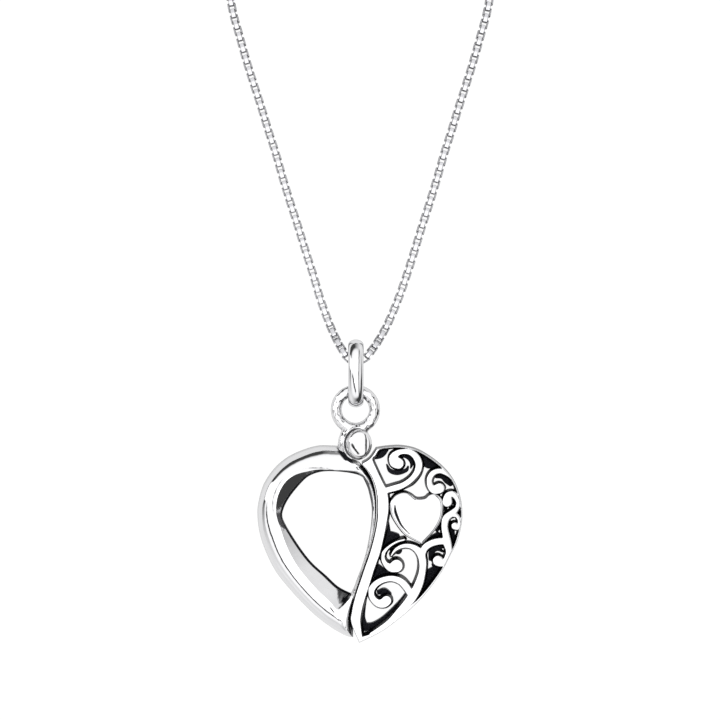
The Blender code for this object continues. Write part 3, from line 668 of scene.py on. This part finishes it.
def ramp_node(nodes, links, value, stops):
    """Grey ramp through (position, grey) stops."""
    ramp = nodes.new("ShaderNodeValToRGB")
    while len(ramp.color_ramp.elements) < len(stops):
        ramp.color_ramp.elements.new(0.5)
    for element, (position, grey) in zip(ramp.color_ramp.elements, stops):
        element.position = position
        element.color = (grey, grey, grey, 1.0)
    links.new(value, ramp.inputs["Fac"])
    return ramp.outputs["Color"]


def math_node(nodes, links, operation, first, second):
    node = nodes.new("ShaderNodeMath")
    node.operation = operation
    for socket, value in zip(node.inputs, (first, second)):
        if isinstance(value, (int, float)):
            socket.default_value = value
        else:
            links.new(value, socket)
    return node.outputs["Value"]


def make_light():
    """A white tent: bright overhead, with dark cards at two corners of the horizon, and with
    a dark gap on the right and a dark slit at the lower left."""
    scene = bpy.context.scene
    world = bpy.data.worlds.new("tent")
    scene.world = world
    world.use_nodes = True
    nodes, links = world.node_tree.nodes, world.node_tree.links
    background = nodes["Background"]
    place = nodes.new("ShaderNodeTexCoord")
    split = nodes.new("ShaderNodeSeparateXYZ")
    links.new(place.outputs["Generated"], split.inputs["Vector"])
    x, y, z = (split.outputs[name] for name in "XYZ")
    corners = math_node(nodes, links, "MULTIPLY", x, y)
    low = math_node(nodes, links, "MULTIPLY_ADD", corners, CARD_CONTRAST)
    low.node.inputs[2].default_value = CARD_LEVEL
    low = math_node(nodes, links, "MAXIMUM", low, CARD_SHADE)
    high = ramp_node(nodes, links, z, ZENITH)
    height = nodes.new("ShaderNodeMapRange")
    height.interpolation_type = "SMOOTHSTEP"
    height.inputs["From Min"].default_value = CARD_TOP[0]
    height.inputs["From Max"].default_value = CARD_TOP[1]
    links.new(z, height.inputs["Value"])
    sky = nodes.new("ShaderNodeMix")
    sky.data_type = "RGBA"
    links.new(height.outputs["Result"], sky.inputs["Factor"])
    links.new(low, sky.inputs["A"])
    links.new(high, sky.inputs["B"])
    gap = ramp_node(nodes, links, x, GAP)
    above = ramp_node(nodes, links, z, GAP_FADE)
    shade = math_node(nodes, links, "MAXIMUM", gap, above)
    towards = math_node(nodes, links, "MULTIPLY", math_node(nodes, links, "ADD", x, y), -0.7071)
    beside = math_node(nodes, links, "ABSOLUTE", math_node(nodes, links, "SUBTRACT", x, y), 0.0)
    slit = math_node(nodes, links, "MAXIMUM", ramp_node(nodes, links, towards, SLIT),
                     ramp_node(nodes, links, beside, SLIT_WIDTH))
    shade = math_node(nodes, links, "MULTIPLY", shade, slit)
    final = math_node(nodes, links, "MULTIPLY", sky.outputs["Result"], shade)
    links.new(final, background.inputs["Color"])
    background.inputs["Strength"].default_value = TENT_STRENGTH
    for lamp in LAMPS:
        make_lamp(*lamp, (0, 0, 0))
    scene.view_settings.view_transform = "Standard"


# Chain.

def strand(side):
    """Route of one strand from the jump ring to the clasp; side is -1 left, 1 right."""
    points = []
    for i, (x, y, z) in enumerate(STRAND):
        if side < 0:
            points.append((x, y, z))
        else:
            lean = 2 * STRAND[0][0] * max(0.0, 1 - i / LEAN_POINTS)
            points.append((-x + lean if i else x, y, RIGHT_RISE.get(i, z)))
    first = 0 if side < 0 else 2
    heights = [CHAIN_Z + COIL_PITCH * (first + k) for k in range(2)]
    coil = []
    total = int(2 * COIL_TURNS * COIL_STEPS)
    for i in range(3, total - 1):
        share = i / total
        inward = abs(1 - 2 * share)
        radius = COIL_RADII[0] + (COIL_RADII[1] - COIL_RADII[0]) * inward
        angle = math.pi - 2 * math.pi * i / COIL_STEPS
        rise = min(max((share - COIL_CROSSOVER[0]) / COIL_CROSSOVER[1], 0.0), 1.0)
        x = radius * math.cos(angle) * -side
        coil.append((x, COIL_CENTRE[1] + radius * math.sin(angle), heights[0] + rise * COIL_PITCH))
    tail_z = [z for _, _, z in TAIL] if side < 0 else RIGHT_TAIL_HEIGHTS
    tail = [(x * -side, y, z) for (x, y, _), z in zip(TAIL, tail_z)]
    return smooth(points + coil + tail, 10)


def link_shape():
    """One box link along X: points of a rounded square band, its faces and how dark each point is."""
    half_long, half_wide, thick, half_band, corner, chamfer = 0.5, 0.46, 0.2, 0.25, 0.12, 0.06
    path = []
    for sx, sy, start in ((1, 1, 0), (-1, 1, 90), (-1, -1, 180), (1, -1, 270)):
        for turn in (0, 45, 90):
            angle = math.radians(start + turn)
            x = sx * (half_long - corner) + corner * math.cos(angle)
            y = sy * (half_wide - corner) + corner * math.sin(angle)
            path.append((x, y, math.cos(angle), math.sin(angle)))
    section = [
        (thick, -half_band), (thick, half_band), (chamfer, half_band), (0.0, half_band - chamfer),
        (0.0, chamfer - half_band), (chamfer, -half_band),
    ]
    points = [(x - nx * depth, y - ny * depth, z) for x, y, nx, ny in path for depth, z in section]
    # Darkest on the band's inner faces, less on the chamfers, least on the outer faces.
    link_darkness = {thick: 1.0, chamfer: 0.3, 0.0: 0.1}
    inside = [link_darkness[depth] for _ in path for depth, _ in section]
    return np.array(points), grid_faces(len(path), len(section), True, True), inside


def box_chain(name, line, look):
    """Box links, every other one turned a quarter, threaded along a line."""
    along = lengths(line)
    count = int(along[-1] / LINK_PITCH)
    at = (np.arange(count) + 0.5) * along[-1] / count
    centres = np.stack([np.interp(at, along, column) for column in line.T], axis=1)
    ahead = np.stack([np.interp(at + 0.2, along, column) for column in line.T], axis=1)
    behind = np.stack([np.interp(at - 0.2, along, column) for column in line.T], axis=1)
    shape, quads, inside = link_shape()
    quads = np.array(quads)
    points, faces = [], []
    for i, (centre, towards) in enumerate(zip(centres, ahead - behind)):
        u = towards / np.linalg.norm(towards)
        v = np.cross((0.0, 0.0, 1.0), u)
        v = v / np.linalg.norm(v)
        w = np.cross(u, v)
        axes = np.array([u, v, w]) if i % 2 else np.array([u, w, -v])
        points.append(centre + shape @ axes)
        faces.append(quads + i * len(shape))
    made = piece(name, np.concatenate(points), np.concatenate(faces).tolist(), look, "necklace",
                 angle=40.0)
    paint(made, np.tile(inside, count))
    return made, centres


def make_chain(look):
    left, left_path = box_chain("chain_left", strand(-1), look)
    right, right_path = box_chain("chain_right", strand(1), look)
    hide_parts("chain_run", "chain_tail_left")
    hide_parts("chain_coil", "chain_tail_right")
    return (left, left_path), (right, right_path)


# Clasp.

def make_clasp(look, steel):
    """Spring-ring body and gate, its eye and the tag ring of the other end."""
    flat = ((1, 0, 0), (0, 1, 0))
    start, end = CLASP_OPENING[1], CLASP_OPENING[0] + 360.0
    radii = (CLASP_RADIUS, CLASP_RADIUS)
    tube = (CLASP_TUBE, CLASP_TUBE)
    points, faces = bent_wire(CLASP_CENTRE, radii, tube, flat, (start, end), 80)
    body = piece("clasp_body", points, faces, look, "necklace")
    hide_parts("clasp_ring")
    rod = (GATE_RADIUS, GATE_RADIUS)
    points, faces = bent_wire(CLASP_CENTRE, radii, rod, flat, GATE_ARC, 40)
    gate = piece("clasp_slider", points, faces, steel, "gate")
    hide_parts("clasp_gate")
    ends = []
    for name, node, half in (("clasp_end_eye", "clasp_eye", 0.25), ("clasp_tag_ring", "tag_ring", 0.3)):
        low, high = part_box(node)
        middle = (Vector(low) + Vector(high)) / 2 / MM
        ring = (high[0] - low[0]) / 2 / MM - half
        upright = ((1, 0, 0), (0, 0, 1))
        points, faces = bent_wire(middle, (ring, ring), (half, half), upright, steps=48, around=16)
        made = piece(name, points, faces, look, "necklace")
        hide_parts(node)
        ends.append(made)
    return [[ends[0], body, gate], [ends[1]]]


# Pendant.

def make_polished_half(look):
    """Crowned band with a crisp crest and a sloping wall round the open window."""
    seam_side = np.array(SEAM) - (SEAM_SHIFT + SEAM_GAP / 2, 0)
    seam_side[0] = POLISHED_OUTLINE[-1]
    top = run(POLISHED_RETURN, TOP_SECTIONS)
    divider = np.concatenate([run(seam_side, SECTIONS[1] - TOP_SECTIONS + 1)[:-1], top])
    outline = np.concatenate([run(POLISHED_OUTLINE, SECTIONS[0])[:-1], divider[:-1]])
    crest = rounded(closed_rail(POLISHED_CREST, CREST_RETURN, SECTIONS), 3)
    window = rounded(closed_rail(WINDOW_EDGE, WINDOW_RETURN, SECTIONS), 3)
    sections, shades = [], []
    for i, (edge, ridge, hole) in enumerate(zip(outline, crest, window)):
        by_seam = i >= SECTIONS[0] - 1
        blend = by_seam * min(1.0, (len(crest) - i) / CROWN_BLEND)
        crown = OUTER_CROWN + (SEAM_CROWN - OUTER_CROWN) * blend
        section = [(*(edge + (hole - edge) * share), z) for share, z in OUTER_FOOT]
        section += flank_points(edge, ridge, crown)
        section += window_points(edge, ridge, hole, LIP_SHARE[by_seam])
        sections.append(section)
        shades.append(section_shade(by_seam, edge, section))
    points = np.array(sections)
    rows, columns = points.shape[:2]
    faces = [f[::-1] for f in grid_faces(rows, columns, True, True)]
    made = piece("polished_casting", points.reshape(-1, 3), faces, look, "pendant",
                 angle=28.0)
    paint(made, np.array(shades).ravel())
    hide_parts("polished_half")
    return made


def flank_points(edge, ridge, crown):
    """The crowned flank of a section, from the outer edge up to the crest."""
    points = []
    for u in 1 - np.linspace(0, 1, FLANK_STEPS) ** 1.6:
        dip = CREST_DIP[0] * max(0.0, 1 - u / CREST_DIP[1]) ** 2
        z = FLANK_FOOT_Z + CROWN_RISE * (1 - u ** crown) ** 0.5 - dip
        points.append((*(ridge + (edge - ridge) * u), z))
    return points


def window_points(edge, ridge, hole, lip_share):
    """The rest of a section: bevel, wall, lip and inner foot."""
    width = np.linalg.norm(hole - ridge)
    lip = min(LIP, width * lip_share)
    bevel = min(BEVEL_WIDTH, (width - lip) / 2)
    reaches = [bevel * stop for stop in BEVEL_STOPS]
    reaches += [bevel + (width - lip - bevel) * stop for stop in WALL_STOPS]
    points = []
    for reach in reaches:
        z = CREST_Z - BEVEL * min(reach, bevel) - WALL * max(reach - bevel, 0.0)
        points.append((*(ridge + (hole - ridge) * reach / width), z))
    points.append((*hole, z - LIP_DROP * lip))
    points.append((*(hole + (ridge - hole) * 0.05), 0.1))
    points.append((*(hole + (edge - hole) * 0.07), 0.0))
    return points


def section_shade(by_seam, edge, section):
    """Black along a section of the polished half: round the bail, painted shade by the seam and at the
    wall's lower end, and oxide at the window.
    """
    shade = []
    for i, (x, y, _) in enumerate(section):
        # Black round the bail plate; painted shade on the flank by the seam and at the wall's lower
        # end.
        corner = math.dist((x, y), PLATE_CENTRE) < CREVICE_RADIUS
        flank = y < SEAM[-1][1] and math.dist((x, y), edge) < np.interp(y, *SEAM_FLANK_SHADE)
        end = i > WALL_START and math.dist((x, y), WALL_END_SHADE) < WALL_END_SHADE_RADIUS
        shade.append(1.0 if corner or end or by_seam and flank else 0.0)
    shade[LIP_START:] = [WINDOW_PAINT[by_seam]] * (len(section) - LIP_START)
    return shade


def paint(made, values):
    """Store how black each point of a mesh is: its oxide and painted shade."""
    shade = made.data.attributes.new("oxide_and_shade", "FLOAT", "POINT")
    shade.data.foreach_set("value", np.asarray(values, np.float32))


def closed_rail(first, second, counts):
    return np.concatenate([run(first, counts[0])[:-1], run(second, counts[1])[:-1]])


def rounded(line, times):
    """A closed line with its corners eased."""
    for _ in range(times):
        line = (np.roll(line, 1, 0) + 2 * line + np.roll(line, -1, 0)) / 4
    return line


def make_openwork(look):
    """Rim and scrolls as one casting: sloped walls blackened by oxide, black round the bail plate and
    painted shade along the seam.
    """
    seam_side = np.array(SEAM) - (SEAM_SHIFT - SEAM_GAP / 2, 0)
    seam_side[0] = OPENWORK_OUTLINE[-1]
    outline = np.concatenate([
        run(OPENWORK_OUTLINE, 120)[:-1], run(seam_side, 80)[:-1], run(OPENWORK_RETURN, 12)[:-1],
    ])
    hole = closed_rail(RIM_OUTER_EDGE, RIM_BAND_EDGE, (110, 90))
    x, y = plane(*OPENWORK_PLANE)
    edge = inside_outline(outline, x, y)
    metal = -inside_outline(hole, x, y)
    for route in SCROLLS:
        metal = joined(metal, ribbon_field(route, x, y), FILLET)
    slope_x, slope_y = np.gradient(metal, CELL)
    facing = slope_x * SKIRT_TOWARDS[0] + slope_y * SKIRT_TOWARDS[1]
    skirt = SKIRT[0] + SKIRT[1] * np.clip(facing, 0, 1)
    web = np.full(x.shape, -1e9)
    for route in WEBS:
        web = np.maximum(web, ribbon_field(route, x, y))
    top = dome(x, y)
    bevel = np.clip(EDGE_ROUND - metal, 0, EDGE_ROUND)
    high = top - (EDGE_ROUND - np.sqrt(EDGE_ROUND ** 2 - bevel ** 2))
    below = np.clip(-metal, 0, None)
    high = np.where(metal < 0, top - EDGE_ROUND - WALL_DROP * np.clip(below / skirt, 0, 1) ** 0.8, high)
    by_seam = -ribbon_field([(px, py, 0.0) for px, py in seam_side], x, y)
    side_round = np.where(by_seam < edge + OXIDE_START, SEAM_ROUND, SIDE_ROUND)
    side = np.clip(1 - edge / side_round, 0, 1)
    flank = np.sqrt(np.clip(1 - side ** 2.2, 0, 1))
    high = np.minimum(high, FLANK_FOOT_Z + (top - FLANK_FOOT_Z) * flank)
    high = np.maximum(high, FLANK_FLOOR_Z)
    field = np.minimum(np.maximum(metal + skirt, web), edge)
    oxide_and_shade = np.clip((OXIDE_START - metal) / OXIDE_FADE, 0, 1)
    # Black round the bail plate, and painted shade along the seam, over the oxide of the walls.
    by_bail = np.hypot(x - PLATE_CENTRE[0], y - PLATE_CENTRE[1])
    oxide_and_shade = np.maximum(oxide_and_shade, np.clip((CREVICE_RADIUS - by_bail) / CREVICE_FADE, 0, 1))
    oxide_and_shade = np.maximum(oxide_and_shade, np.clip((SEAM_SHADE - by_seam) / OXIDE_FADE, 0, 1))
    made = relief("openwork_casting", x, y, field, high, np.full(x.shape, BACK_Z), oxide_and_shade, look,
                  "openwork")
    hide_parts("openwork_rim", "scroll_top", "scroll_shoulder", "scroll_middle", "scroll_vine")
    return made


def make_mini_heart(look):
    """Small puffed heart in the scrollwork, with a groove beside its left edge painted black as painted
    shade.
    """
    outline = smooth([*MINI_HEART, MINI_HEART[0]], 8)[:-1]
    x, y = plane(*HEART_PLANE)
    edge = inside_outline(outline, x, y)
    groove = ribbon_field(HEART_GROOVE, x, y)
    inner = np.clip(edge, 0, HEART_ROUND) / HEART_ROUND
    base = dome(x, y) - HEART_SINK
    high = base + HEART_PUFF * np.sqrt(1 - (1 - inner) ** 2)
    high = np.where(edge < 0, base - np.clip(-edge / HEART_WALL, 0, 1) * HEART_DROP, high)
    high -= np.clip(groove / 0.1, 0, 1) * GROOVE_DEPTH
    # Oxide round the heart's edge, and painted shade in the groove by its left edge.
    oxide_and_shade = np.maximum(np.clip((0.03 - edge) / 0.03, 0, 1), np.clip(groove / 0.04, 0, 1))
    made = relief("mini_heart_boss", x, y, edge + HEART_WALL, high,
                  np.full(x.shape, HEART_BACK_Z), oxide_and_shade, look, "openwork")
    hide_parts("mini_heart")
    return made


def make_bail(look):
    """Loop, neck and plate as one soft-edged casting."""
    x, y = plane(*BAIL_PLANE)
    from_loop = np.hypot(x - LOOP_CENTRE[0], y - LOOP_CENTRE[1])
    loop = LOOP_WIRE - np.abs(from_loop - LOOP_RADIUS)
    disc = PLATE_RADIUS - np.hypot(x - PLATE_CENTRE[0], y - PLATE_CENTRE[1])
    plate = joined(disc, ribbon_field(NECK, x, y), NECK_FILLET)
    plate = joined(plate, ribbon_field(FLARE, x, y), FLARE_FILLET)
    plate = np.minimum(plate, from_loop - LOOP_RADIUS + LOOP_WIRE)
    whole = joined(loop, plate, LOOP_FILLET)
    inner = np.clip(whole / LOOP_WIRE, 0, 1)
    rise = LOOP_WIRE * np.sqrt(1 - (1 - inner) ** 2)
    rim = np.hypot(x - PIVOT[0] + 0.12, (y - PIVOT[1] + 0.05) * 0.88)
    left = np.clip(0.4 - (x - PIVOT[0]) / 1.5, 0, 1)
    line, hollow, lip = SEAT_RADII
    ridge = 0.6 * left * np.clip(1 - np.abs(rim - lip) / 0.16, 0, 1)
    seat = np.clip((hollow - rim) / 0.15, 0, 1) - ridge
    high = LOOP_CENTRE[2] + 0.02 + rise - SEAT_DEPTH * seat
    # A dark line round the seat of the rivet ball.
    oxide_and_shade = 0.75 * np.clip(1 - np.abs(rim - line) / 0.07, 0, 1)
    made = relief("bail_casting", x, y, whole, high, LOOP_CENTRE[2] - 0.02 - rise * 0.9, oxide_and_shade, look,
                  "pendant")
    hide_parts("bail")
    return made


def make_ball(look):
    """Rivet head: a shallow oval dome with a round edge, on a short straight foot."""
    reach = np.sin(np.radians(np.linspace(1, 90, BALL_RINGS)))
    rings = [(p, BALL_TOP - BALL_RISE * p ** 2 - BALL_EDGE * p ** BALL_EDGE_POWER) for p in reach]
    rings.append((1.0, BALL_FOOT))
    points = []
    for p, z in rings:
        for k in range(BALL_AROUND):
            turn = 2 * math.pi * k / BALL_AROUND
            points.append((PIVOT[0] + BALL_RADII[0] * p * math.cos(turn),
                           PIVOT[1] + BALL_RADII[1] * p * math.sin(turn), z))
    faces = grid_faces(len(rings), BALL_AROUND, False, True)
    faces.append(tuple(range(BALL_AROUND)))
    faces.append(tuple(range(len(points) - BALL_AROUND, len(points)))[::-1])
    made = piece("rivet_ball", points, faces, look, "pendant")
    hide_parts("pivot_ball")
    return made


def make_jump_ring(look):
    upright = ((0, 1, 0), (0, 0, 1))
    points, faces = bent_wire(RING_CENTRE, RING_RADII, RING_WIRE, upright, steps=120, around=32)
    made = piece("oval_jump_ring", points, faces, look, "necklace")
    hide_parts("jump_ring")
    return made


make_camera()
# The last number of each finish is how far its steep sides take painted shade.
bright = silver("polished_silver", (0.69, 0.69, 0.7), 0.06, 0.05, 0.002, 0.55)
links_look = silver("chain_silver", (0.55, 0.55, 0.57), 0.1, 0.02, 0.002, 0.8)
steel_look = silver("spring_steel", (0.6, 0.61, 0.64), 0.2, 0.02, 0.004, 0.3)
dark_silver = silver("oxidised_silver", (0.7, 0.7, 0.71), 0.07, 0.03, 0.002, 0.8)
cast_silver = silver("cast_silver", (0.66, 0.66, 0.67), 0.09, 0.8, 0.01, 0.9)
strands = make_chain(links_look)
make_clasp(links_look, steel_look)
make_polished_half(bright)
make_openwork(dark_silver)
make_mini_heart(dark_silver)
make_bail(cast_silver)
make_ball(bright)
make_jump_ring(bright)
for node, look in (("pivot_eye", bright), ("pivot_pin", steel_look)):
    for material_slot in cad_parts[node].material_slots:
        material_slot.material = look
make_floor()
make_light()
